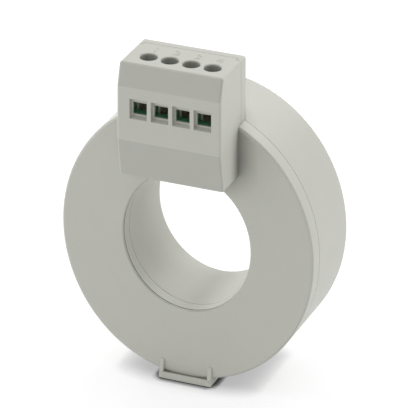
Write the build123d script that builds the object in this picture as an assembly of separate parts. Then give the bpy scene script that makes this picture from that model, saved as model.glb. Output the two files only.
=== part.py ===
from build123d import *
import os

# A ring current transformer with a four-pole terminal housing on its front.
# The origin is the centre of the bore. Y is the bore axis and points to the back, Z is up.

# Ring housing, two mouldings that meet on a parting line behind the front face
bore_r = 15.2
ring_width = 14.8           # from the bore to the outside
ring_depth = 21.6
ring_wall = 1.5
bore_wall = 1.3
edge_round = 0.6
bore_edge_round = 0.3
seam_depth = 4.0            # front face to the parting line on the outside
bore_seam_depth = 3.45      # front face to the parting line in the bore
seam_gap = 0.12             # the open line between the two mouldings
lap_length = 1.5            # how far the back moulding reaches inside the front one
lap_clearance = 0.1
rim_groove_setback = 0.45   # fine groove round the mouth of the bore
rim_groove_width = 0.25
rim_groove_depth = 0.35

# Terminal housing, moulded with the front of the ring
tower_rise = 11.3           # its top above the ring
tower_slope_height = 4.8    # the part above this face leans back
tower_face_height = 11.8    # the upright part of its face
tower_low_gap = 1.0         # its underside above the bore
tower_top_setback = 1.5
tower_low_setback = 1.7
tower_round = 0.55
tower_wall = 1.7            # face, slopes, top and underside
tower_side_wall = 1.2
tower_back_depth = 5.1      # ring's front face to the back of the closing plate
plate_top_thickness = 2.3   # closing plate as seen from above
plate_cheek_length = 1.0    # its side cheeks reach this much further forward

# The row of four poles
pole_count = 4
pole_pitch = 5.08
row_x = 0.4                 # the row sits a little off the housing's middle
screw_row_setback = 6.1     # housing's face to the screws' axes
screw_hole_r = 2.0
screw_hole_chamfer = 0.2
recess_rib = 0.93           # left standing between two recesses
recess_height = 4.35
recess_rise = 4.95          # above the lower break of the housing's face
recess_depth = 1.25
recess_floor_rise = 0.35    # the recess floor climbs towards the window
window_margin = 0.375       # recess to window at each side
window_height = 2.6
window_sill = 0.7           # lower edge of the recess to that of the window

# Foot: two ears and a bar at the front, and a flat pad along the underside
foot_width = 12.2
foot_drop = 0.8             # the pad's face below the ring's lowest point
pad_back_margin = 0.8
pad_root = 0.8              # how far the pad is buried in the ring's wall
ear_thickness = 0.85
ear_height = 3.9
ear_reach_top = 0.25
ear_reach_low = 1.3
ear_round = 0.3
bar_thickness = 0.5
bar_height = 1.25
bar_setback = 0.15          # the bar's front behind the ears' feet
bar_lift = 0.1              # the bar's underside above the ears' feet

# Core in its plastic case, as large as the housing and the windings allow
case_wall = 0.8
core_clearance = 0.2        # between the core and its case, all round
lid_clearance = 0.1

# Windings
wire_layer = 0.75           # thickness of the secondary between its turns
turn_rise = 0.25            # how far each turn stands out of that layer
secondary_turns = 48
test_layer = 0.3
test_turns = 5
test_turn_pitch = 3.2       # degrees between the test winding's turns
test_centre = 76.0          # degrees from +X, towards the terminals
turn_share = 0.7            # a turn's width as a share of its pitch
winding_clearance = 0.05
winding_gap = 0.3           # from the windings to the housing, all round

# Ribs that carry the winding off the housing's floor
rib_count = 6
rib_thickness = 1.2
rib_start = 30.0            # degrees from +X

# Circuit board on two ledges in the terminal housing
board_thickness = 1.6
board_side_gap = 0.15
board_front_gap = 0.2
board_back_setback = 1.5    # the board's back edge behind the ring's front face
ledge_width = 1.0
ledge_height = 1.2
keeper_height = 1.0         # rail above the board on the free side

# Terminal block
block_end_wall = 0.25       # beside the outer poles
block_back_wall = 0.9       # behind the contacts
block_floor = 2.5           # under the clamps
block_fit = 0.1             # to the terminal housing
block_side_gap = 0.32
block_back_gap = 0.2        # to the ring's front face
pocket_rib = 0.78           # between two clamps
seat_thickness = 0.5        # ledge that the screw head bears on
wire_stop_depth = 1.1       # blind pocket for the wire's end behind the clamp

# Clamp: cage, screw and contact of each pole
cage_side_gap = 0.15
cage_end_gap = 0.2
cage_length = 4.4
cage_floor = 0.8
cage_side = 0.6
cage_top = 1.3
cage_round = 0.4
cage_rest_gap = 0.1         # over the pocket's floor
cage_travel = 1.8
cage_spare = 0.15           # left over at both ends of the travel
floor_step = 0.05           # from the window's sill down to the cage's floor
wire_room = 2.2             # from the cage's floor to the contact when open
screw_r = 1.25
thread_clearance = 0.05
head_reveal = 0.2           # the screw's head inside its access hole
head_height = 1.45
head_clearance = 0.15
screw_seat_gap = 0.05
shank_clearance = 0.2
slot_width = 0.6
slot_depth = 0.8
tip_gap = 0.1               # screw tip over the contact
contact_thickness = 0.7
contact_side_gap = 0.15     # to the cage's sides
contact_gap = 0.05          # to its slot in the block
contact_front_reach = 0.9   # ahead of the clamp's pocket
tail_width = 0.9
tail_length = 1.7           # below the board
tail_hole_r = 0.65

# Leads from the windings to the board
lead_r = 0.4
lead_xs = (-6.5, -3.2, 4.5, 7.4)
lead_bend = 1.1
lead_stand = 0.8            # above the board
lead_hole_clearance = 0.05
lead_row_gap = 0.8          # behind the terminal block

# Ring housing's planes and radii
ring_r = bore_r + ring_width
front_y = -ring_depth / 2
back_y = ring_depth / 2
seam_y = front_y + seam_depth
bore_seam_y = front_y + bore_seam_depth
inner_r = bore_r + bore_wall
outer_r = ring_r - ring_wall
floor_y = back_y - ring_wall
plate_y = front_y + ring_wall
foot_z = -ring_r - foot_drop

# Windings and core, from the housing inwards
secondary_build = winding_clearance + wire_layer + turn_rise
test_build = winding_clearance + test_layer + turn_rise
case_margin = winding_gap + test_build + secondary_build
case_inner_r = inner_r + case_margin
case_outer_r = outer_r - case_margin
case_half = floor_y - case_margin
core_margin = case_wall + core_clearance
wound_half = case_half + secondary_build
test_half = wound_half + test_build

# Terminal housing, round the row of poles
row_half = pole_count * pole_pitch / 2
block_half = row_half + block_end_wall
tower_inner_half = row_x + block_half + block_side_gap
tower_half = tower_inner_half + tower_side_wall
pocket_length = cage_length + 2 * cage_end_gap
contact_slot = contact_thickness + 2 * contact_gap
tower_reach = screw_row_setback + pocket_length / 2 + contact_slot + block_back_wall + block_back_gap
tower_face_y = front_y - tower_reach
tower_back_y = front_y + tower_back_depth
plate_front_y = tower_back_y - plate_top_thickness
cheek_front_y = plate_front_y - plate_cheek_length
tower_top_z = ring_r + tower_rise
tower_break_high_z = tower_top_z - tower_slope_height
tower_break_low_z = tower_break_high_z - tower_face_height
tower_low_z = bore_r + tower_low_gap
pole_xs = [row_x - row_half + (n + 0.5) * pole_pitch for n in range(pole_count)]

# Heights and widths of one pole, from its window
recess_width = pole_pitch - recess_rib
recess_low_z = tower_break_low_z + recess_rise
window_width = recess_width - 2 * window_margin
window_low_z = recess_low_z + window_sill
window_high_z = window_low_z + window_height
cage_low_z = window_low_z - floor_step - cage_floor
cage_opening = wire_room + contact_thickness + cage_spare
cage_high_z = cage_low_z + cage_floor + cage_opening + cage_top
contact_low_z = cage_low_z + cage_floor + wire_room
contact_high_z = contact_low_z + contact_thickness
pocket_width = pole_pitch - pocket_rib
pocket_low_z = cage_low_z - cage_rest_gap
pocket_high_z = cage_high_z + cage_travel + cage_spare
head_seat_z = pocket_high_z + seat_thickness
cage_width = pocket_width - 2 * cage_side_gap
contact_width = cage_width - 2 * (cage_side + contact_side_gap)
screw_head_r = screw_hole_r - head_reveal
screw_y = tower_face_y + screw_row_setback
pocket_ys = (screw_y - pocket_length / 2, screw_y + pocket_length / 2)

# Block, board and leads
block_front_y = tower_face_y + tower_wall + block_fit
block_back_y = front_y - block_back_gap
board_top_z = pocket_low_z - block_floor
board_low_z = board_top_z - board_thickness
board_back_y = front_y + board_back_setback
lead_y = block_back_y + lead_row_gap
lead_z = (bore_r + ring_r) / 2


# A solid of revolution about the bore axis, from points (radius, y)
def turned(points):
    return revolve(make_face(Polyline(*points, close=True)), Axis.Y)


# The same, with one corner of the section rounded for each (radius, y, rounding)
def turned_rounded(points, corners):
    section = make_face(Polyline(*points, close=True))
    for r, y, rounding in corners:
        corner = section.vertices().sort_by_distance((r, y, 0))[0]
        section = fillet(corner, rounding)
    return revolve(section, Axis.Y)


# A plain ring between two radii and two stations along the bore axis
def ring(radii, ys):
    low, high = radii
    return turned([(low, ys[0]), (high, ys[0]), (high, ys[1]), (low, ys[1])])


# A block between two values on each axis
def block(xs, ys, zs):
    spans = (xs, ys, zs)
    centre = [(low + high) / 2 for low, high in spans]
    return Pos(*centre) * Box(*[high - low for low, high in spans])


# A side profile of points (y, z), as thick as the given span in x
def profile(points, xs):
    face = Plane.YZ * make_face(Polyline(*points, close=True))
    return Pos(xs[0], 0, 0) * extrude(face, xs[1] - xs[0])


# An upright cylinder at (x, y) between two heights
def post(x, y, r, zs):
    height = zs[1] - zs[0]
    return Pos(x, y, zs[0] + height / 2) * Cylinder(r, height)


# Section of the terminal housing, grown or shrunk by a margin all round
def tower_section(back_y_at, margin=0):
    outline = make_face(Polyline(
        (tower_face_y + tower_top_setback, tower_top_z),
        (tower_face_y, tower_break_high_z),
        (tower_face_y, tower_break_low_z),
        (tower_face_y + tower_low_setback, tower_low_z),
        (back_y_at, tower_low_z),
        (back_y_at, tower_top_z),
        close=True,
    ))
    if margin:
        outline = offset(outline, margin, kind=Kind.INTERSECTION)
    return Plane.YZ * outline


def tower_cavity(side_half, margin, back_y_at):
    section = tower_section(back_y_at + margin, -margin)
    return extrude(section, side_half, both=True)


# Front cap of the ring: face plate, outer skirt and bore lip, rebated for the lap joint
def front_cap():
    mid_outer = ring_r - ring_wall / 2
    mid_inner = bore_r + bore_wall / 2
    groove_ys = (front_y + rim_groove_setback, front_y + rim_groove_setback + rim_groove_width)
    points = [
        (bore_r, front_y), (ring_r, front_y), (ring_r, seam_y),
        (mid_outer, seam_y), (mid_outer, seam_y - lap_length),
        (outer_r, seam_y - lap_length), (outer_r, plate_y),
        (inner_r, plate_y), (inner_r, bore_seam_y - lap_length),
        (mid_inner, bore_seam_y - lap_length), (mid_inner, bore_seam_y),
        (bore_r, bore_seam_y),
        (bore_r, groove_ys[1]), (bore_r + rim_groove_depth, groove_ys[1]),
        (bore_r + rim_groove_depth, groove_ys[0]), (bore_r, groove_ys[0]),
    ]
    return turned_rounded(points, [(ring_r, front_y, edge_round), (bore_r, front_y, bore_edge_round)])


# Outside of the terminal housing, ending at the closing plate and clear of the ring's hollow
def tower_outside():
    body = extrude(tower_section(plate_front_y), tower_half, both=True)
    ahead = body.edges().filter_by(lambda edge: edge.center().Y < cheek_front_y)
    body = fillet(ahead, tower_round)
    body -= ring((0, outer_r), (plate_y, back_y))
    body -= ring((0, ring_r), (seam_y, back_y))
    for side in (-1, 1):
        xs = sorted((side * tower_inner_half, side * (tower_half + tower_round)))
        body -= block(xs, (cheek_front_y, back_y), (tower_low_z, tower_top_z + tower_round))
    return body


# Tapered recess and window for the wire of one pole
def wire_entry(x):
    mouth_z = recess_low_z + recess_height / 2
    throat_height = recess_height - recess_floor_rise
    throat_z = recess_low_z + recess_floor_rise + throat_height / 2
    mouth = Plane((x, tower_face_y, mouth_z), x_dir=(1, 0, 0), z_dir=(0, 1, 0))
    throat = Plane((x, tower_face_y + recess_depth, throat_z), x_dir=(1, 0, 0), z_dir=(0, 1, 0))
    recess = loft([mouth * Rectangle(recess_width, recess_height),
                   throat * Rectangle(recess_width, throat_height)])
    window = block((x - window_width / 2, x + window_width / 2),
                   (tower_face_y, block_front_y),
                   (window_low_z, window_high_z))
    return recess + window


def screw_access(x):
    top_wall_z = tower_top_z - tower_wall
    hole = post(x, screw_y, screw_hole_r, (top_wall_z - tower_wall, tower_top_z))
    mouth = Pos(x, screw_y, tower_top_z - screw_hole_chamfer / 2) * Cone(
        screw_hole_r, screw_hole_r + screw_hole_chamfer, screw_hole_chamfer)
    return hole + mouth


# Ledges that carry the board, and a rail over it on the side that the block leaves free
def board_rails():
    low_zs = (board_low_z - ledge_height, board_low_z)
    ys = (block_front_y, plate_y)
    ledges = []
    for side in (-1, 1):
        inner_x = side * (tower_inner_half - ledge_width)
        buried_x = side * (tower_inner_half + tower_side_wall / 2)
        xs = sorted((inner_x, buried_x))
        ledges.append(block(xs, ys, low_zs))
    keeper_xs = (-tower_inner_half - tower_side_wall / 2, row_x - block_half - block_fit)
    keeper_zs = (board_top_z + board_side_gap, board_top_z + board_side_gap + keeper_height)
    return ledges + [block(keeper_xs, ys, keeper_zs)]


# Ears and bar at the foot of the front face
def foot_loop():
    half = foot_width / 2
    ear_top_z = foot_z + ear_height
    outline = [
        (front_y + edge_round, ear_top_z), (front_y - ear_reach_top, ear_top_z),
        (front_y - ear_reach_low, foot_z), (front_y + edge_round, foot_z),
    ]
    loop = []
    for xs in ((-half, -half + ear_thickness), (half - ear_thickness, half)):
        ear = profile(outline, xs)
        nose = ear.edges().filter_by(Axis.X).sort_by(Axis.Y)[:2]
        loop.append(fillet(nose, ear_round))
    bar_front_y = front_y - ear_reach_low + bar_setback
    loop.append(block((-half + ear_thickness / 2, half - ear_thickness / 2),
                      (bar_front_y, bar_front_y + bar_thickness),
                      (foot_z + bar_lift, foot_z + bar_lift + bar_height)))
    return loop


def foot_pad(ys):
    return block((-foot_width / 2, foot_width / 2), ys, (foot_z, -ring_r + pad_root))


def front_cover():
    cover = front_cap() + tower_outside()
    cover -= tower_cavity(tower_inner_half, tower_wall, seam_y + tower_wall)
    cover += board_rails()
    cover -= [wire_entry(x) for x in pole_xs]
    cover -= [screw_access(x) for x in pole_xs]
    cover += foot_loop() + [foot_pad((front_y + edge_round, seam_y))]
    return cover


# Plate that closes the terminal housing from behind; its cheeks wrap the side walls
def closing_plate():
    zs = (tower_low_z, tower_top_z)
    plate = block((-tower_half, tower_half), (plate_front_y + seam_gap, tower_back_y), zs)
    for side in (-1, 1):
        xs = sorted((side * (tower_inner_half + lap_clearance), side * tower_half))
        plate += block(xs, (cheek_front_y + seam_gap, tower_back_y), zs)
    upright = plate.edges().filter_by(Axis.Z).sort_by(Axis.Y)[-2:]
    sides = plate.edges().filter_by(Axis.Y).sort_by(Axis.Z)[-4:]
    outer_sides = sides.sort_by(lambda edge: abs(edge.center().X))[-2:]
    crest = plate.edges().filter_by(Axis.X).sort_by(lambda edge: edge.center().Y + edge.center().Z)[-1:]
    plate = fillet(upright + outer_sides + crest, tower_round)
    plate -= ring((0, ring_r + lap_clearance), (cheek_front_y, seam_y + seam_gap))
    plate -= ring((0, (outer_r + ring_r) / 2), (seam_y, tower_back_y))
    return plate


# Ribs on the floor of the ring, under the winding
def floor_ribs():
    rib = block((inner_r - bore_wall / 2, outer_r + ring_wall / 2),
                (wound_half + winding_clearance, floor_y + ring_wall / 2),
                (-rib_thickness / 2, rib_thickness / 2))
    return [Rot(0, -rib_start - n * 360 / rib_count, 0) * rib for n in range(rib_count)]


def rear_case():
    tongue_outer = ring_r - ring_wall / 2 - lap_clearance
    tongue_inner = bore_r + bore_wall / 2 + lap_clearance
    points = [
        (bore_r, bore_seam_y + seam_gap), (tongue_inner, bore_seam_y + seam_gap),
        (tongue_inner, bore_seam_y - lap_length + seam_gap),
        (inner_r, bore_seam_y - lap_length + seam_gap),
        (inner_r, floor_y), (outer_r, floor_y),
        (outer_r, seam_y - lap_length + seam_gap),
        (tongue_outer, seam_y - lap_length + seam_gap),
        (tongue_outer, seam_y + seam_gap), (ring_r, seam_y + seam_gap),
        (ring_r, back_y), (bore_r, back_y),
    ]
    case = turned_rounded(points, [(ring_r, back_y, edge_round), (bore_r, back_y, bore_edge_round)])
    case += closing_plate()
    case += floor_ribs()
    case += foot_pad((seam_y + seam_gap, back_y - pad_back_margin))
    return case


# Tray and lid that keep the winding's pressure off the core
def core_tray():
    tray = ring((case_inner_r, case_outer_r), (-case_half + case_wall, case_half))
    hollow = ring((case_inner_r + case_wall, case_outer_r - case_wall),
                  (-case_half, case_half - case_wall))
    return tray - hollow


def core_lid():
    lid = ring((case_inner_r, case_outer_r), (-case_half, -case_half + case_wall))
    rim_ys = (-case_half + case_wall, -case_half + case_wall + core_clearance)
    hollow_radii = (case_inner_r + case_wall + lid_clearance, case_outer_r - case_wall - lid_clearance)
    return lid + ring(hollow_radii, rim_ys)


def tape_core():
    back = case_half - case_wall
    length = 2 * (case_half - core_margin)
    return ring((case_inner_r + core_margin, case_outer_r - core_margin), (back - length, back))


# A layer of wire wound round a ring-shaped former, each turn standing out as a ridge
def wound(former_radii, former_half, layer, rise, turns, pitch, start):
    low, high = former_radii
    low -= winding_clearance
    high += winding_clearance
    half = former_half + winding_clearance

    def shell(thickness, arc):
        outside = [(low - thickness, -half - thickness), (high + thickness, -half - thickness),
                   (high + thickness, half + thickness), (low - thickness, half + thickness)]
        inside = [(low, -half), (high, -half), (high, half), (low, half)]
        section = make_face(Polyline(*outside, close=True)) - make_face(Polyline(*inside, close=True))
        return revolve(section, Axis.Y, arc)

    def placed(solid, low_angle, arc):
        return Rot(0, -low_angle - arc, 0) * solid

    ridge_arc = pitch * turn_share
    base_arc = min((turns - 1) * pitch + ridge_arc, 360) if turns * pitch < 360 else 360
    base = placed(shell(layer, base_arc), start, base_arc)
    ridge = shell(layer + rise, ridge_arc)
    return base + [placed(ridge, start + n * pitch, ridge_arc) for n in range(turns)]


def secondary_winding():
    return wound((case_inner_r, case_outer_r), case_half, wire_layer, turn_rise,
                 secondary_turns, 360 / secondary_turns, 0)


def test_winding():
    start = test_centre - (test_turns - 1 + turn_share) * test_turn_pitch / 2
    return wound((case_inner_r - secondary_build, case_outer_r + secondary_build), wound_half,
                 test_layer, turn_rise, test_turns, test_turn_pitch, start)


def circuit_board():
    half = tower_inner_half - board_side_gap
    board = block((-half, half), (block_front_y + board_front_gap, board_back_y),
                  (board_low_z, board_top_z))
    drill_zs = (board_low_z - board_thickness, board_top_z + board_thickness)
    tail_y = pocket_ys[1] + contact_gap + contact_thickness / 2
    board -= [post(x, tail_y, tail_hole_r, drill_zs) for x in pole_xs]
    board -= [post(x, lead_y, lead_r + lead_hole_clearance, drill_zs) for x in lead_xs]
    return board


# One pole's hollows in the terminal block
def pole_hollow(x):
    pocket_xs = (x - pocket_width / 2, x + pocket_width / 2)
    wire_xs = (x - window_width / 2, x + window_width / 2)
    wire_zs = (window_low_z, window_high_z)
    contact_half = contact_width / 2 + contact_gap
    contact_xs = (x - contact_half, x + contact_half)
    leg_back_y = pocket_ys[1] + contact_slot
    return [
        block(pocket_xs, pocket_ys, (pocket_low_z, pocket_high_z)),
        block(pocket_xs, (block_front_y - block_fit, pocket_ys[0]), wire_zs),
        block(wire_xs, (pocket_ys[1], pocket_ys[1] + wire_stop_depth), wire_zs),
        block(contact_xs, (pocket_ys[0] - contact_front_reach - contact_gap, leg_back_y),
              (contact_low_z - contact_gap, contact_high_z + contact_gap)),
        block(contact_xs, (pocket_ys[1], leg_back_y), (board_top_z, contact_high_z + contact_gap)),
        post(x, screw_y, screw_r + shank_clearance, (pocket_high_z, head_seat_z)),
        post(x, screw_y, screw_head_r + head_clearance, (head_seat_z, tower_top_z)),
    ]


def terminal_body():
    envelope = tower_cavity(tower_half, tower_wall + block_fit, seam_y + tower_wall)
    body = block((row_x - block_half, row_x + block_half), (block_front_y, block_back_y),
                 (board_top_z, tower_top_z))
    body = body & envelope
    for x in pole_xs:
        body -= pole_hollow(x)
    return body


# Contact strip: a bar through the clamp, bent down behind it into a solder tail
def contact_pin(x):
    back = pocket_ys[1] + contact_gap + contact_thickness
    xs = (x - contact_width / 2, x + contact_width / 2)
    bar = block(xs, (pocket_ys[0] - contact_front_reach, back), (contact_low_z, contact_high_z))
    leg_ys = (back - contact_thickness, back)
    leg = block(xs, leg_ys, (board_top_z, contact_high_z))
    bend = (bar + leg).edges().filter_by(Axis.X).sort_by_distance((x, back, contact_high_z))[0]
    strip = fillet(bend, contact_thickness / 2)
    return strip + block((x - tail_width / 2, x + tail_width / 2), leg_ys,
                         (board_low_z - tail_length, board_top_z))


# Folded clamp cage with a tapped top; it rises on the screw
def clamp_cage(x):
    ys = (screw_y - cage_length / 2, screw_y + cage_length / 2)
    cage = block((x - cage_width / 2, x + cage_width / 2), ys, (cage_low_z, cage_high_z))
    cage = fillet(cage.edges().filter_by(Axis.Y), cage_round)
    cage -= block((x - cage_width / 2 + cage_side, x + cage_width / 2 - cage_side), ys,
                  (cage_low_z + cage_floor, cage_high_z - cage_top))
    return cage - post(x, screw_y, screw_r + thread_clearance, (cage_high_z - cage_top, cage_high_z))


def clamp_screw(x):
    head_low_z = head_seat_z + screw_seat_gap
    head_high_z = head_low_z + head_height
    screw = post(x, screw_y, screw_head_r, (head_low_z, head_high_z))
    screw += post(x, screw_y, screw_r, (contact_high_z + tip_gap, head_low_z))
    return screw - block((x - slot_width / 2, x + slot_width / 2),
                         (screw_y - screw_head_r, screw_y + screw_head_r),
                         (head_high_z - slot_depth, head_high_z))


# Lead that leaves its winding forwards and turns up through the board
def lead_wire(x, start_y):
    path = FilletPolyline((x, start_y, lead_z), (x, lead_y, lead_z),
                          (x, lead_y, board_top_z + lead_stand), radius=lead_bend)
    start = Plane((x, start_y, lead_z), z_dir=(0, -1, 0))
    return sweep(start * Circle(lead_r), path=path)


pieces = {
    "front_cover": front_cover(),
    "rear_case": rear_case(),
    "core_tray": core_tray(),
    "core_lid": core_lid(),
    "tape_core": tape_core(),
    "secondary_winding": secondary_winding(),
    "test_winding": test_winding(),
    "circuit_board": circuit_board(),
    "terminal_body": terminal_body(),
}
for number, x in enumerate(pole_xs, start=1):
    pieces[f"contact_pin_{number}"] = contact_pin(x)
    pieces[f"clamp_cage_{number}"] = clamp_cage(x)
    pieces[f"clamp_screw_{number}"] = clamp_screw(x)
for number, x in enumerate(lead_xs, start=1):
    start_y = -(wound_half if x < row_x else test_half) - winding_clearance
    pieces[f"lead_wire_{number}"] = lead_wire(x, start_y)

os.makedirs("parts", exist_ok=True)
for name, solid in pieces.items():
    export_step(solid, f"parts/{name}.step")
    print(name, round(solid.volume, 2))
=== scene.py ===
import math

import bmesh
import bpy
from mathutils import Matrix, Vector


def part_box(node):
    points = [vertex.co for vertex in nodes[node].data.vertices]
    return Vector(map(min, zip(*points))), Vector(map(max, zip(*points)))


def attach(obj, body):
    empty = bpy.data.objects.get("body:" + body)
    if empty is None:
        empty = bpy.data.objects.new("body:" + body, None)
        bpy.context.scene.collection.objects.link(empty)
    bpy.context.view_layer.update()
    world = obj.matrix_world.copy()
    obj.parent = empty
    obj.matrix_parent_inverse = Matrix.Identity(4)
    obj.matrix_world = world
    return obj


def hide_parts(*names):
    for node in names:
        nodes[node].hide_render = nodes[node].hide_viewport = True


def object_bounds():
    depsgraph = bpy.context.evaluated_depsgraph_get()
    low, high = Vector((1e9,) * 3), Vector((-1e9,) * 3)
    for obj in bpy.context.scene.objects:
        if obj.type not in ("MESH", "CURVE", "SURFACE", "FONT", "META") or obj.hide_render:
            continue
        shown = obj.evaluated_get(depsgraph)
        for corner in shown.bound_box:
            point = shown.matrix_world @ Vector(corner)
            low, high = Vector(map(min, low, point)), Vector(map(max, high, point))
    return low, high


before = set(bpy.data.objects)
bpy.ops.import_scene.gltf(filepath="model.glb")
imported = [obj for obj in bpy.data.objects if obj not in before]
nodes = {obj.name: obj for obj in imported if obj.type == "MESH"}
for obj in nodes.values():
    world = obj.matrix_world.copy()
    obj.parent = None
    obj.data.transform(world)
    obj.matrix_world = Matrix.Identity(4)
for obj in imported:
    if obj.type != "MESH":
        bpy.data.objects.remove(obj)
cadBox = [list(corner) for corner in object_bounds()]
mm = 0.001
poleNumbers = (1, 2, 3, 4)
mergeDistance = 0.001 * mm
sharpAngle = math.radians(35)
occlusionSamples = 12


# sRGB hex to the linear colour that Blender's sockets take
def hexColour(code):
    linear = []
    for start in (0, 2, 4):
        value = int(code[start:start + 2], 16) / 255
        linear.append(value / 12.92 if value <= 0.04045 else ((value + 0.055) / 1.055) ** 2.4)
    return (*linear, 1.0)


# One node with its settings, its links given as {input: (node, output)}
def addNode(tree, kind, settings=None, values=None, links=None):
    node = tree.nodes.new(kind)
    for name, value in (settings or {}).items():
        setattr(node, name, value)
    for name, value in (values or {}).items():
        node.inputs[name].default_value = value
    for name, (source, output) in (links or {}).items():
        tree.links.new(source.outputs[output], node.inputs[name])
    return node


# The two colours of a Mix node, at factor 0 and at factor 1
def mixTones(tones):
    first, second = tones
    return {6: hexColour(first), 7: hexColour(second)}


# 1 where every test holds, each of them a node's output against a limit
def addTests(tree, tests):
    whole = None
    for source, output, operation, limit in tests:
        test = addNode(tree, "ShaderNodeMath", {"operation": operation}, values={1: limit},
                       links={0: (source, output)})
        if whole is not None:
            test = addNode(tree, "ShaderNodeMath", {"operation": "MULTIPLY"},
                           links={0: (whole, "Value"), 1: (test, "Value")})
        whole = test
    return whole


def startMaterial(name):
    material = bpy.data.materials.new(name)
    material.use_nodes = True
    material.node_tree.nodes.clear()
    return material, material.node_tree


def closeMaterial(material, shader, output="BSDF"):
    tree = material.node_tree
    end = addNode(tree, "ShaderNodeOutputMaterial")
    tree.links.new(shader.outputs[output], end.inputs["Surface"])
    return material


def dress(names, material):
    for name in names:
        nodes[name].data.materials.clear()
        nodes[name].data.materials.append(material)


# A finished bmesh becomes an object that rides on a CAD body
def addPiece(name, shape, material, body, smooth=True, replaced=()):
    mesh = bpy.data.meshes.new(name)
    bmesh.ops.recalc_face_normals(shape, faces=shape.faces)
    shape.to_mesh(mesh)
    shape.free()
    mesh.materials.append(material)
    for polygon in mesh.polygons:
        polygon.use_smooth = smooth
    mesh.set_sharp_from_angle(angle=sharpAngle)
    piece = bpy.data.objects.new(name, mesh)
    bpy.context.scene.collection.objects.link(piece)
    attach(piece, body)
    if replaced:
        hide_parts(*replaced)
    return piece


# A round form from a profile of (radius, height), spun about an upright axis at (x, y)
def spinProfile(shape, profile, x, y, steps):
    points = [shape.verts.new((x + radius, y, height)) for radius, height in profile]
    edges = [shape.edges.new(pair) for pair in zip(points, points[1:])]
    bmesh.ops.spin(shape, geom=points + edges, cent=(x, y, 0), axis=(0, 0, 1), dvec=(0, 0, 0),
                   angle=2 * math.pi, steps=steps, use_merge=True)
    bmesh.ops.remove_doubles(shape, verts=shape.verts, dist=mergeDistance)


print("stage: camera")

# The photo was taken with its film plane upright and the lens looking down at the ring.
# Focal length and the foot of the lens axis are in pixels of the 408 x 408 picture.
photoCamera = {
    "azimuth": 23.538,
    "position": Vector((375.62, -935.02, 440.14)) * mm,
    "focalPixels": 4500.0,
    "axisPixel": (74.666, -1744.616),
    "imageSize": 408,
    "sensor": 36.0,
    "clip": (0.01, 10),
}


def setCamera(settings):
    turn = math.radians(settings["azimuth"])
    forward = Vector((-math.sin(turn), math.cos(turn), 0))
    right = Vector((math.cos(turn), math.sin(turn), 0))
    up = Vector((0, 0, 1))
    middle = settings["imageSize"] / 2
    axisX, axisY = settings["axisPixel"]
    look = forward * settings["focalPixels"] + right * (middle - axisX) - up * (middle - axisY)
    camera = bpy.data.objects.new("photoCamera", bpy.data.cameras.new("photoCamera"))
    bpy.context.scene.collection.objects.link(camera)
    camera.data.sensor_width = settings["sensor"]
    camera.data.lens = look.length / settings["imageSize"] * settings["sensor"]
    camera.data.clip_start, camera.data.clip_end = settings["clip"]
    place = Matrix((right, up, -look.normalized())).transposed().to_4x4()
    place.translation = settings["position"]
    # an upright film plane is a shear, which the camera takes from what holds it
    stand = bpy.data.objects.new("cameraStand", None)
    bpy.context.scene.collection.objects.link(stand)
    camera.parent = stand
    camera.matrix_parent_inverse = place
    bpy.context.scene.camera = camera


setCamera(photoCamera)

print("stage: light and floor")

studio = {
    "skyColour": "ffffff",
    "skyStrength": 0.575,       # what lights the object
    "skySeen": 1.0,             # and what shows as the backdrop
    "floorColour": "f3f4f5",
    "floorGlow": 0.46,          # keeps the backdrop white round the shadow, with the next value
    "floorSeen": 0.76,
    "floorHalf": 3.0,
    "shade": {"reach": 5.5 * mm, "depth": 2.0},     # the painted soft shadow under the ring
    "contact": {"reach": 1.8 * mm, "depth": 3.2},   # and the painted dark contact shadow at the foot
    "lamps": {
        "backSoftbox": {"place": (0.0, 1.1, 0.35), "size": 0.6, "power": 5.0},
        "backLeftSoftbox": {"place": (-0.8, 0.8, 0.35), "size": 0.6, "power": 2.7},
        "leftSoftbox": {"place": (-1.1, -0.1, 0.4), "size": 0.6, "power": 3.4},
        "rightSoftbox": {"place": (1.08, 0.18, 0.4), "size": 0.6, "power": 3.05},
        "frontLeftSoftbox": {"place": (-0.7, -1.0, 0.35), "size": 0.6, "power": 1.5},
    },
}


# 1 on what the camera sees straight, through glass or mirrored in metal
def addSeenRays(tree):
    path = addNode(tree, "ShaderNodeLightPath")
    straight = addNode(tree, "ShaderNodeMath", {"operation": "MAXIMUM"},
                       links={0: (path, "Is Camera Ray"), 1: (path, "Is Transmission Ray")})
    return addNode(tree, "ShaderNodeMath", {"operation": "MAXIMUM"},
                   links={0: (straight, "Value"), 1: (path, "Is Glossy Ray")})


def setWorld(settings):
    world = bpy.data.worlds.new("studioWorld")
    bpy.context.scene.world = world
    world.use_nodes = True
    tree = world.node_tree
    tree.nodes.clear()
    seen = addSeenRays(tree)
    sky = addNode(tree, "ShaderNodeBackground",
                  values={"Color": hexColour(settings["skyColour"]), "Strength": settings["skyStrength"]})
    shown = addNode(tree, "ShaderNodeBackground",
                    values={"Color": hexColour(settings["skyColour"]), "Strength": settings["skySeen"]})
    mixed = addNode(tree, "ShaderNodeMixShader", links={0: (seen, "Value"), 1: (sky, 0), 2: (shown, 0)})
    end = addNode(tree, "ShaderNodeOutputWorld")
    tree.links.new(mixed.outputs["Shader"], end.inputs["Surface"])
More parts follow.
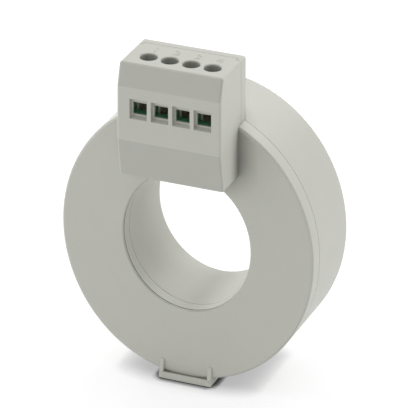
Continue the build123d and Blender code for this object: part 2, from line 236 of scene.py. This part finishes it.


# Matt and pale. The rays that are seen find it dimmer but with a glow, so that the backdrop is white and
# the shadow stays. Painted shadow darkens it under the ring and at the foot.
def paleFloor(settings):
    material, tree = startMaterial("paleFloor")
    seen = addSeenRays(tree)
    paintedShadows = []
    # painted shadow: ambient occlusion darkens the floor near the object, wide and soft, and narrow at the
    # foot
    for corner in (settings["shade"], settings["contact"]):
        clear = addNode(tree, "ShaderNodeAmbientOcclusion", {"samples": occlusionSamples},
                        values={"Distance": corner["reach"]})
        paintedShadows.append(addNode(tree, "ShaderNodeMath", {"operation": "POWER"}, values={1: corner["depth"]},
                              links={0: (clear, "AO")}))
    both = addNode(tree, "ShaderNodeMath", {"operation": "MULTIPLY"},
                   links={0: (paintedShadows[0], "Value"), 1: (paintedShadows[1], "Value")})
    dimmed = addNode(tree, "ShaderNodeMath", {"operation": "MULTIPLY"},
                     values={1: settings["floorSeen"]}, links={0: (both, "Value")})
    # the light that the floor bounces on to the object isn't dimmed, nor darkened by the painted shadow
    shade = addNode(tree, "ShaderNodeMapRange", values={"To Min": 1.0},
                    links={"Value": (seen, "Value"), "To Max": (dimmed, "Value")})
    colour = addNode(tree, "ShaderNodeVectorMath", {"operation": "SCALE"},
                     values={0: hexColour(settings["floorColour"])[:3]}, links={"Scale": (shade, "Result")})
    matt = addNode(tree, "ShaderNodeBsdfDiffuse", links={"Color": (colour, "Vector")})
    # the glow takes the painted contact shadow too
    contact = addNode(tree, "ShaderNodeMath", {"operation": "MULTIPLY"},
                      links={0: (seen, "Value"), 1: (paintedShadows[1], "Value")})
    strength = addNode(tree, "ShaderNodeMath", {"operation": "MULTIPLY"},
                       values={1: settings["floorGlow"]}, links={0: (contact, "Value")})
    glow = addNode(tree, "ShaderNodeEmission", values={"Color": (1, 1, 1, 1)},
                   links={"Strength": (strength, "Value")})
    surface = addNode(tree, "ShaderNodeAddShader", links={0: (matt, "BSDF"), 1: (glow, "Emission")})
    return closeMaterial(material, surface, "Shader")


def setFloor(settings):
    shape = bmesh.new()
    bmesh.ops.create_grid(shape, x_segments=1, y_segments=1, size=settings["floorHalf"])
    bmesh.ops.translate(shape, verts=shape.verts, vec=(0, 0, cadBox[0][2]))
    mesh = bpy.data.meshes.new("floor")
    shape.to_mesh(mesh)
    shape.free()
    mesh.materials.append(paleFloor(settings))
    floor = bpy.data.objects.new("floor", mesh)
    bpy.context.scene.collection.objects.link(floor)


def addLamp(name, settings):
    lamp = bpy.data.lights.new(name, "AREA")
    lamp.shape = "SQUARE"
    lamp.size = settings["size"]
    lamp.energy = settings["power"]
    holder = bpy.data.objects.new(name, lamp)
    holder.location = settings["place"]
    holder.rotation_euler = (-Vector(settings["place"])).to_track_quat("-Z", "Y").to_euler()
    bpy.context.scene.collection.objects.link(holder)


setWorld(studio)
setFloor(studio)
for name, settings in studio["lamps"].items():
    addLamp(name, settings)
bpy.context.scene.view_settings.view_transform = "Standard"

print("stage: housing")

housing = {
    "tones": ("c7c7be", "c5c5bc"),
    "gloss": {"Roughness": 0.5, "IOR": 1.53},
    "grain": {"Scale": 1 / (0.5 * mm), "Detail": 3.0, "Roughness": 0.6},
    "cloud": {"Scale": 1 / (6 * mm), "Detail": 2.0, "Roughness": 0.5},
    "spread": {"From Min": 0.12, "From Max": 0.4},      # the range that grain times cloud fills
    "skin": {"Strength": 0.5, "Distance": 0.01 * mm},
    "cornerReach": 5 * mm,      # how far the painted shade in an inner corner spreads
    "cornerDepth": 1.15,
    "cornerY": {"From Min": -19.4 * mm, "From Max": -19.0 * mm},    # it ends here towards the wire windows
    "cornerZ": {"From Min": -27 * mm, "From Max": -24 * mm},        # and here towards the foot
    "paintedSlopeShade": 0.87,         # painted shade on the terminal housing's two sloped faces, against its upright one
    "slopeTilt": (0.1, 0.6),    # the range of the normal's Z that counts as a slope
    "slopeForward": -0.7,       # and the normal's Y it stays under
    "slopeY": -12.5 * mm,       # only what lies in front of this is the terminal housing
    "paintedEdgeShade": 0.84,          # painted shade on the rounded edges between a front and a right side
    "edgeX": 0.15,              # the normal's X it stays over
    "edgeZ": 0.68,              # and the Z it stays under, to keep off the screw holes' mouths
    "edgeFades": ({"From Min": -0.97, "From Max": -0.85},       # the normal's Y fades it in
                  {"From Min": -0.25, "From Max": -0.45}),      # and out
}


# Light grey ABS, injection moulded in a spark-eroded tool: an even matt skin with a very fine grain.
# Painted shade darkens the two slopes, the rounded edges at the right and the inner corners.
# The real grain is about 0.05 mm; it is drawn ten times as coarse, or no pixel would show it.
def mouldedAbs(settings):
    material, tree = startMaterial("mouldedGreyAbs")
    coords = addNode(tree, "ShaderNodeTexCoord")
    grain = addNode(tree, "ShaderNodeTexNoise", values=settings["grain"],
                    links={"Vector": (coords, "Object")})
    cloud = addNode(tree, "ShaderNodeTexNoise", values=settings["cloud"],
                    links={"Vector": (coords, "Object")})
    both = addNode(tree, "ShaderNodeMath", {"operation": "MULTIPLY"},
                   links={0: (grain, "Fac"), 1: (cloud, "Fac")})
    spread = addNode(tree, "ShaderNodeMapRange", values=settings["spread"],
                     links={"Value": (both, "Value")})
    tone = addNode(tree, "ShaderNodeMix", {"data_type": "RGBA"}, values=mixTones(settings["tones"]),
                   links={0: (spread, "Result")})
    surface = addNode(tree, "ShaderNodeNewGeometry")
    normal = addNode(tree, "ShaderNodeSeparateXYZ", links={0: (surface, "True Normal")})
    tilt = addNode(tree, "ShaderNodeMath", {"operation": "ABSOLUTE"}, links={0: (normal, "Z")})
    axes = addNode(tree, "ShaderNodeSeparateXYZ", links={0: (coords, "Object")})
    leastTilt, mostTilt = settings["slopeTilt"]
    slope = addTests(tree, ((tilt, "Value", "GREATER_THAN", leastTilt),
                            (tilt, "Value", "LESS_THAN", mostTilt),
                            (normal, "Y", "LESS_THAN", settings["slopeForward"]),
                            (axes, "Y", "LESS_THAN", settings["slopeY"])))
    # painted shade: the slopes' colour is darkened, where the lamps light them less
    shade = addNode(tree, "ShaderNodeMapRange", values={"To Min": 1.0, "To Max": settings["paintedSlopeShade"]},
                    links={"Value": (slope, "Value")})
    # painted shade on the rounded edges at the right, faded in and out by the normal's Y
    edge = addTests(tree, ((normal, "X", "GREATER_THAN", settings["edgeX"]),
                           (tilt, "Value", "LESS_THAN", settings["edgeZ"])))
    for edgeFade in settings["edgeFades"]:
        fade = addNode(tree, "ShaderNodeMapRange", values=edgeFade, links={"Value": (normal, "Y")})
        edge = addNode(tree, "ShaderNodeMath", {"operation": "MULTIPLY"},
                       links={0: (edge, "Value"), 1: (fade, "Result")})
    paintedEdgeShade = addNode(tree, "ShaderNodeMapRange", values={"To Min": 1.0, "To Max": settings["paintedEdgeShade"]},
                        links={"Value": (edge, "Value")})
    shade = addNode(tree, "ShaderNodeMath", {"operation": "MULTIPLY"},
                    links={0: (shade, "Result"), 1: (paintedEdgeShade, "Result")})
    # painted shade: ambient occlusion darkens the colour in inner corners
    corner = addNode(tree, "ShaderNodeAmbientOcclusion",
                     {"samples": occlusionSamples, "only_local": True},
                     values={"Distance": settings["cornerReach"]})
    deep = addNode(tree, "ShaderNodeMath", {"operation": "POWER"}, values={1: settings["cornerDepth"]},
                   links={0: (corner, "AO")})
    back = addNode(tree, "ShaderNodeMapRange", values=settings["cornerY"], links={"Value": (axes, "Y")})
    above = addNode(tree, "ShaderNodeMapRange", values=settings["cornerZ"], links={"Value": (axes, "Z")})
    place = addNode(tree, "ShaderNodeMath", {"operation": "MULTIPLY"},
                    links={0: (back, "Result"), 1: (above, "Result")})
    light = addNode(tree, "ShaderNodeMix", {"data_type": "FLOAT"}, values={2: 1.0},
                    links={0: (place, "Value"), 3: (deep, "Value")})
    whole = addNode(tree, "ShaderNodeMath", {"operation": "MULTIPLY"},
                    links={0: (light, 0), 1: (shade, "Value")})
    shaded = addNode(tree, "ShaderNodeVectorMath", {"operation": "SCALE"},
                     links={0: (tone, 2), "Scale": (whole, "Value")})
    skin = addNode(tree, "ShaderNodeBump", values=settings["skin"], links={"Height": (grain, "Fac")})
    shader = addNode(tree, "ShaderNodeBsdfPrincipled", values=settings["gloss"],
                     links={"Base Color": (shaded, "Vector"), "Normal": (skin, "Normal")})
    return closeMaterial(material, shader)


greyAbs = mouldedAbs(housing)
dress(("front_cover", "rear_case"), greyAbs)

poleMarks = {
    "height": 2.3 * mm,
    "capitalShare": 0.7,        # capitals are about 0.7 of the type size
    "lift": 0.05 * mm,
    "edgeShare": 0.25,          # rounding of the edges, as a share of the lift
    "backFromHole": 4.3 * mm,   # screw's axis to the middle of its number
}


# Raised numbers behind the screw holes, moulded with the housing
def addPoleNumber(number, settings):
    low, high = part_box(f"clamp_screw_{number}")
    top = cadBox[1][2]
    text = bpy.data.curves.new(f"poleNumber{number}", "FONT")
    text.body = str(number)
    text.size = settings["height"] / settings["capitalShare"]
    text.extrude = settings["lift"]
    text.bevel_depth = settings["lift"] * settings["edgeShare"]
    text.align_x, text.align_y = "CENTER", "CENTER"
    holder = bpy.data.objects.new("textHolder", text)
    bpy.context.scene.collection.objects.link(holder)
    bpy.context.view_layer.update()
    mesh = bpy.data.meshes.new_from_object(holder)
    bpy.data.objects.remove(holder)
    mesh.transform(Matrix.Translation(((low[0] + high[0]) / 2,
                                       (low[1] + high[1]) / 2 + settings["backFromHole"], top)))
    shape = bmesh.new()
    shape.from_mesh(mesh)
    addPiece(f"poleNumber_{number}", shape, greyAbs, "housing", smooth=False)


for number in poleNumbers:
    addPoleNumber(number, poleMarks)

print("stage: terminal block and clamps")

# Dark green PBT, injection moulded, with short glass fibres that mottle it a little
blockPlastic = {
    "tones": ("539c76", "488b68"),
    "gloss": {"Roughness": 0.42, "IOR": 1.55},
    "fibre": {"Scale": 1 / (0.3 * mm), "Detail": 4.0, "Roughness": 0.7},
    "skin": {"Strength": 0.4, "Distance": 0.01 * mm},
}


# A moulded plastic filled with glass fibre, which marks its colour and its skin alike
def fibreFilled(name, settings):
    material, tree = startMaterial(name)
    coords = addNode(tree, "ShaderNodeTexCoord")
    fibre = addNode(tree, "ShaderNodeTexNoise", values=settings["fibre"],
                    links={"Vector": (coords, "Object")})
    tone = addNode(tree, "ShaderNodeMix", {"data_type": "RGBA"}, values=mixTones(settings["tones"]),
                   links={0: (fibre, "Fac")})
    skin = addNode(tree, "ShaderNodeBump", values=settings["skin"], links={"Height": (fibre, "Fac")})
    shader = addNode(tree, "ShaderNodeBsdfPrincipled", values=settings["gloss"],
                     links={"Base Color": (tone, 2), "Normal": (skin, "Normal")})
    return closeMaterial(material, shader)


dress(["terminal_body"], fibreFilled("mouldedGreenPbt", blockPlastic))

metals = {
    "nickel": {"tones": ("d6d1c5", "c4bfb3"), "roughness": 0.5, "streak": 0.18 * mm},
    "tin": {"tones": ("e2dfd6", "d2cec3"), "roughness": 0.45, "streak": 0.12 * mm},
    "zinc": {"tones": ("c3c6cb", "aab0b8"), "roughness": 0.3, "streak": 0.25 * mm},
}
drawnLines = {
    "alongZ": 150.0,            # per metre, so one streak is some 7 mm long
    "noise": {"Scale": 1.0, "Detail": 3.0},
    "skin": {"Strength": 0.35, "Distance": 0.01 * mm},
}


# Plated sheet or bar: fine lines along Z, left from drawing, under the plating, and a satin gloss
def platedMetal(name, settings, lines):
    material, tree = startMaterial(name)
    coords = addNode(tree, "ShaderNodeTexCoord")
    across = 1 / settings["streak"]
    stretched = addNode(tree, "ShaderNodeMapping", values={"Scale": (across, across, lines["alongZ"])},
                        links={"Vector": (coords, "Object")})
    streak = addNode(tree, "ShaderNodeTexNoise", values=lines["noise"],
                     links={"Vector": (stretched, "Vector")})
    tone = addNode(tree, "ShaderNodeMix", {"data_type": "RGBA"}, values=mixTones(settings["tones"]),
                   links={0: (streak, "Fac")})
    skin = addNode(tree, "ShaderNodeBump", values=lines["skin"], links={"Height": (streak, "Fac")})
    shader = addNode(tree, "ShaderNodeBsdfPrincipled",
                     values={"Metallic": 1.0, "Roughness": settings["roughness"]},
                     links={"Base Color": (tone, 2), "Normal": (skin, "Normal")})
    return closeMaterial(material, shader)


nickel = platedMetal("nickelPlatedBrass", metals["nickel"], drawnLines)
tin = platedMetal("tinnedCopperStrip", metals["tin"], drawnLines)
zinc = platedMetal("zincPlatedSteel", metals["zinc"], drawnLines)      # for the screws below
dress([f"clamp_cage_{n}" for n in poleNumbers], nickel)
dress([f"contact_pin_{n}" for n in poleNumbers], tin)

clampScrew = {
    "headR": 1.8 * mm,
    "headHeight": 1.45 * mm,
    "headRound": 0.14 * mm,
    "roundSteps": 3,
    "slotHalf": 0.3 * mm,
    "slotDepth": 0.8 * mm,
    "rootR": 1.02 * mm,
    "crestR": 1.25 * mm,
    "threadSink": 0.1 * mm,     # how deep the thread stands in the shank
    "threadPitch": 0.45 * mm,
    "crestSpan": (0.45, 0.55),  # the crest's place within a pitch
    "tipChamfer": 0.3 * mm,
    "segments": 40,
    "sameHeight": 0.01 * mm,    # how near counts as level
    "sameRadius": 0.02 * mm,    # and as round the head's rim
}


# A drum up to the slot's floor, and on it a land at each side of the slot, with a rounded rim
def addScrewHead(shape, x, y, headLow, top, settings):
    slotFloor = top - settings["slotDepth"]
    bmesh.ops.create_circle(shape, cap_ends=True, radius=settings["headR"], segments=settings["segments"],
                            matrix=Matrix.Translation((x, y, headLow)))
    drum = bmesh.ops.extrude_face_region(shape, geom=shape.faces[:])
    raised = [part for part in drum["geom"] if isinstance(part, bmesh.types.BMVert)]
    bmesh.ops.translate(shape, verts=raised, vec=(0, 0, slotFloor - headLow))
    faceLevel = slotFloor - settings["sameHeight"]
    for side in (-1, 1):
        flat = [face for face in shape.faces if face.calc_center_median().z > faceLevel]
        edges = {edge for face in flat for edge in face.edges}
        points = {point for face in flat for point in face.verts}
        bmesh.ops.bisect_plane(shape, geom=flat + list(edges) + list(points), dist=mergeDistance,
                               plane_co=(x + side * settings["slotHalf"], y, 0), plane_no=(1, 0, 0))
    lands = [face for face in shape.faces if face.calc_center_median().z > faceLevel
             and abs(face.calc_center_median().x - x) > settings["slotHalf"]]
    grown = bmesh.ops.extrude_face_region(shape, geom=lands)
    raised = [part for part in grown["geom"] if isinstance(part, bmesh.types.BMVert)]
    bmesh.ops.translate(shape, verts=raised, vec=(0, 0, settings["slotDepth"]))
    bmesh.ops.delete(shape, geom=lands, context="FACES_ONLY")
    rim = [edge for edge in shape.edges
           if all(point.co.z > top - settings["sameHeight"] for point in edge.verts)
           and any(abs((point.co.xy - Vector((x, y))).length - settings["headR"]) < settings["sameRadius"]
                   for point in edge.verts)]
    bmesh.ops.bevel(shape, geom=rim, offset=settings["headRound"], segments=settings["roundSteps"],
                    profile=0.5, affect="EDGES", material=-1)


# A helix of one section, swept up the shank
def addThread(shape, x, y, tip, headLow, settings):
    pitch, crest = settings["threadPitch"], settings["crestR"]
    inner = settings["rootR"] - settings["threadSink"]
    turns = math.floor((headLow - tip) / pitch) - 1     # the section is a pitch high itself
    start = tip + settings["tipChamfer"]
    section = [(inner, start), *((crest, start + share * pitch) for share in settings["crestSpan"]),
               (inner, start + pitch)]
    ring = shape.faces.new([shape.verts.new((x + radius, y, height)) for radius, height in section])
    steps = turns * settings["segments"] // 2
    bmesh.ops.spin(shape, geom=[ring], cent=(x, y, 0), axis=(0, 0, 1), dvec=(0, 0, turns * pitch / steps),
                   angle=turns * 2 * math.pi, steps=steps, use_merge=False)


# Slotted cheese-head screw on the axis of its CAD piece
def addClampScrew(number, settings):
    low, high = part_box(f"clamp_screw_{number}")
    x, y = (low[0] + high[0]) / 2, (low[1] + high[1]) / 2
    tip, top, root = low[2], high[2], settings["rootR"]
    headLow = top - settings["headHeight"]
    shape = bmesh.new()
    addScrewHead(shape, x, y, headLow, top, settings)
    shank = [(0, tip), (root - settings["tipChamfer"], tip), (root, tip + settings["tipChamfer"]),
             (root, headLow), (0, headLow)]
    spinProfile(shape, shank, x, y, settings["segments"])
    addThread(shape, x, y, tip, headLow, settings)
    addPiece(f"slottedScrew_{number}", shape, zinc, f"screw_{number}",
             replaced=[f"clamp_screw_{number}"])


for number in poleNumbers:
    addClampScrew(number, clampScrew)

print("stage: board")

boardFinish = {
    "tones": ("1d5a37", "174a2e"),
    "cutEdge": "b8a768",
    "gloss": {"Roughness": 0.35, "IOR": 1.5},
    "weave": 0.55 * mm,
    "levelZ": 0.5,              # a face whose normal's Z is over this is lacquered
}


# Glass-epoxy laminate under a green lacquer, in which the weave just shows; bare yellow at the cut edges
def lacqueredLaminate(settings):
    material, tree = startMaterial("lacqueredGlassEpoxy")
    coords = addNode(tree, "ShaderNodeTexCoord")
    weave = addNode(tree, "ShaderNodeTexChecker", values={"Scale": 1 / settings["weave"]},
                    links={"Vector": (coords, "Object")})
    tone = addNode(tree, "ShaderNodeMix", {"data_type": "RGBA"}, values=mixTones(settings["tones"]),
                   links={0: (weave, "Fac")})
    surface = addNode(tree, "ShaderNodeNewGeometry")
    normal = addNode(tree, "ShaderNodeSeparateXYZ", links={0: (surface, "True Normal")})
    upright = addNode(tree, "ShaderNodeMath", {"operation": "ABSOLUTE"}, links={0: (normal, "Z")})
    flat = addNode(tree, "ShaderNodeMath", {"operation": "GREATER_THAN"},
                   values={1: settings["levelZ"]}, links={0: (upright, "Value")})
    whole = addNode(tree, "ShaderNodeMix", {"data_type": "RGBA"},
                    values={6: hexColour(settings["cutEdge"])}, links={0: (flat, "Value"), 7: (tone, 2)})
    shader = addNode(tree, "ShaderNodeBsdfPrincipled", values=settings["gloss"],
                     links={"Base Color": (whole, 2)})
    return closeMaterial(material, shader)


dress(["circuit_board"], lacqueredLaminate(boardFinish))

# Tin solder, melted on to the copper pads: a bright concave cone
solder = {
    "tone": "d5d7d9",
    "gloss": {"Metallic": 1.0, "Roughness": 0.22},
    "dents": {"Scale": 1 / (0.4 * mm), "Detail": 2.0},
    "skin": {"Strength": 0.3, "Distance": 0.02 * mm},
    "padR": 1.15 * mm,
    "padRise": 0.05 * mm,
    "coneTopR": 0.45 * mm,
    "lowShares": (0.62, 0.22),      # of the pad's radius and the height, where the cone sweeps in
    "highShares": (1.15, 0.6),      # of its top radius and the height, where it steepens
    "tailHeight": 1.0 * mm,
    "tailInset": 0.35 * mm,         # pin's back face to the middle of its tail
    "leadHeight": 0.6 * mm,
    "leadInset": 0.4 * mm,          # and the wire's front to the middle of its end
    "segments": 28,
}


# One colour, under a skin that is slightly uneven
def unevenSkin(name, settings):
    material, tree = startMaterial(name)
    coords = addNode(tree, "ShaderNodeTexCoord")
    dents = addNode(tree, "ShaderNodeTexNoise", values=settings["dents"],
                    links={"Vector": (coords, "Object")})
    skin = addNode(tree, "ShaderNodeBump", values=settings["skin"], links={"Height": (dents, "Fac")})
    shader = addNode(tree, "ShaderNodeBsdfPrincipled",
                     values={"Base Color": hexColour(settings["tone"]), **settings["gloss"]},
                     links={"Normal": (skin, "Normal")})
    return closeMaterial(material, shader)


tinSolder = unevenSkin("tinSolder", solder)


# A solder joint at (x, y), rising from a face of the board in the given direction
def addSolderJoint(name, x, y, face, direction, height, settings):
    pad, top = settings["padR"], settings["coneTopR"]
    lowR, lowHeight = settings["lowShares"]
    highR, highHeight = settings["highShares"]
    shape = bmesh.new()
    profile = [(0, 0), (pad, 0), (pad, settings["padRise"]), (lowR * pad, lowHeight * height),
               (highR * top, highHeight * height), (top, height), (0, height)]
    spinProfile(shape, [(radius, face + direction * rise) for radius, rise in profile], x, y,
                settings["segments"])
    addPiece(name, shape, tinSolder, "housing")


boardLow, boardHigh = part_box("circuit_board")
for number in poleNumbers:
    low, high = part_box(f"contact_pin_{number}")
    addSolderJoint(f"tailSolder_{number}", (low[0] + high[0]) / 2, high[1] - solder["tailInset"],
                   boardLow[2], -1, solder["tailHeight"], solder)
    low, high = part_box(f"lead_wire_{number}")
    addSolderJoint(f"leadSolder_{number}", (low[0] + high[0]) / 2, low[1] + solder["leadInset"],
                   boardHigh[2], 1, solder["leadHeight"], solder)

print("stage: windings and core")

winding = {
    "tones": ("7c3d1d", "b0602f"),      # painted shade in the groove between two turns, and the copper's tone on the crown of one
    "gloss": {"Metallic": 0.85, "Roughness": 0.3, "Coat Weight": 0.5, "Coat Roughness": 0.12},
    "wire": 0.3 * mm,
    "radius": 27 * mm,                  # at which one turn is as wide as the wire
    "bulge": {"Strength": 0.8, "Distance": 0.1 * mm},
}
waveRange = {"From Min": -1.0, "From Max": 1.0}     # of a sine


# Enamelled copper wire, wound by machine round the ring: a glossy red-brown, with painted shade in the
# groove between turns.
# The wire is finer than this; a turn is drawn 0.3 mm wide so that it shows.
def enamelledCopper(settings):
    material, tree = startMaterial("enamelledCopperWire")
    coords = addNode(tree, "ShaderNodeTexCoord")
    axes = addNode(tree, "ShaderNodeSeparateXYZ", links={0: (coords, "Object")})
    angle = addNode(tree, "ShaderNodeMath", {"operation": "ARCTAN2"},
                    links={0: (axes, "Z"), 1: (axes, "X")})
    turns = addNode(tree, "ShaderNodeMath", {"operation": "MULTIPLY"},
                    values={1: settings["radius"] * 2 * math.pi / settings["wire"]},
                    links={0: (angle, "Value")})
    wave = addNode(tree, "ShaderNodeMath", {"operation": "SINE"}, links={0: (turns, "Value")})
    height = addNode(tree, "ShaderNodeMapRange", values=waveRange, links={"Value": (wave, "Value")})
    # painted shade: the tone darkens towards the groove between turns
    tone = addNode(tree, "ShaderNodeMix", {"data_type": "RGBA"}, values=mixTones(settings["tones"]),
                   links={0: (height, "Result")})
    bulge = addNode(tree, "ShaderNodeBump", values=settings["bulge"],
                    links={"Height": (height, "Result")})
    shader = addNode(tree, "ShaderNodeBsdfPrincipled", values=settings["gloss"],
                     links={"Base Color": (tone, 2), "Normal": (bulge, "Normal")})
    return closeMaterial(material, shader)


dress(["secondary_winding"] + [f"lead_wire_{n}" for n in (1, 2)], enamelledCopper(winding))

# Soft PVC over stranded wire, extruded: cream, with a faint sheen and slight dents
insulation = {
    "tone": "e7e2d2",
    "gloss": {"Roughness": 0.45, "IOR": 1.53},
    "dents": {"Scale": 1 / (0.6 * mm), "Detail": 2.0},
    "skin": {"Strength": 0.3, "Distance": 0.03 * mm},
}
dress(["test_winding"] + [f"lead_wire_{n}" for n in (3, 4)],
      unevenSkin("extrudedPvcInsulation", insulation))

# Black glass-filled polyamide, injection moulded: nearly matt, with fibre marks
corePlastic = {
    "tones": ("2f3032", "26272a"),
    "gloss": {"Roughness": 0.48, "IOR": 1.53},
    "fibre": {"Scale": 1 / (0.5 * mm), "Detail": 5.0, "Roughness": 0.7},
    "skin": {"Strength": 0.5, "Distance": 0.02 * mm},
}
dress(["core_tray", "core_lid"], fibreFilled("mouldedBlackPolyamide", corePlastic))

tape = {
    "tones": ("6f7276", "9b9ea2"),      # between two layers, and on one
    "gloss": {"Metallic": 1.0, "Roughness": 0.32},
    "layer": 0.22 * mm,
    "ridges": {"Strength": 0.6, "Distance": 0.05 * mm},
}


# Nanocrystalline tape, cast thin and wound up: a steel-grey spiral whose edges show as rings.
# The tape is about 0.02 mm thick; its layers are drawn 0.22 mm apart so that they show.
def woundTape(settings):
    material, tree = startMaterial("woundAlloyTape")
    coords = addNode(tree, "ShaderNodeTexCoord")
    axes = addNode(tree, "ShaderNodeSeparateXYZ", links={0: (coords, "Object")})
    across = addNode(tree, "ShaderNodeCombineXYZ", links={0: (axes, "X"), 1: (axes, "Z")})
    radius = addNode(tree, "ShaderNodeVectorMath", {"operation": "LENGTH"}, links={0: (across, "Vector")})
    layers = addNode(tree, "ShaderNodeMath", {"operation": "MULTIPLY"},
                     values={1: 2 * math.pi / settings["layer"]}, links={0: (radius, "Value")})
    wave = addNode(tree, "ShaderNodeMath", {"operation": "SINE"}, links={0: (layers, "Value")})
    height = addNode(tree, "ShaderNodeMapRange", values=waveRange, links={"Value": (wave, "Value")})
    tone = addNode(tree, "ShaderNodeMix", {"data_type": "RGBA"}, values=mixTones(settings["tones"]),
                   links={0: (height, "Result")})
    ridges = addNode(tree, "ShaderNodeBump", values=settings["ridges"],
                     links={"Height": (height, "Result")})
    shader = addNode(tree, "ShaderNodeBsdfPrincipled", values=settings["gloss"],
                     links={"Base Color": (tone, 2), "Normal": (ridges, "Normal")})
    return closeMaterial(material, shader)


dress(["tape_core"], woundTape(tape))

print("stage: finish")
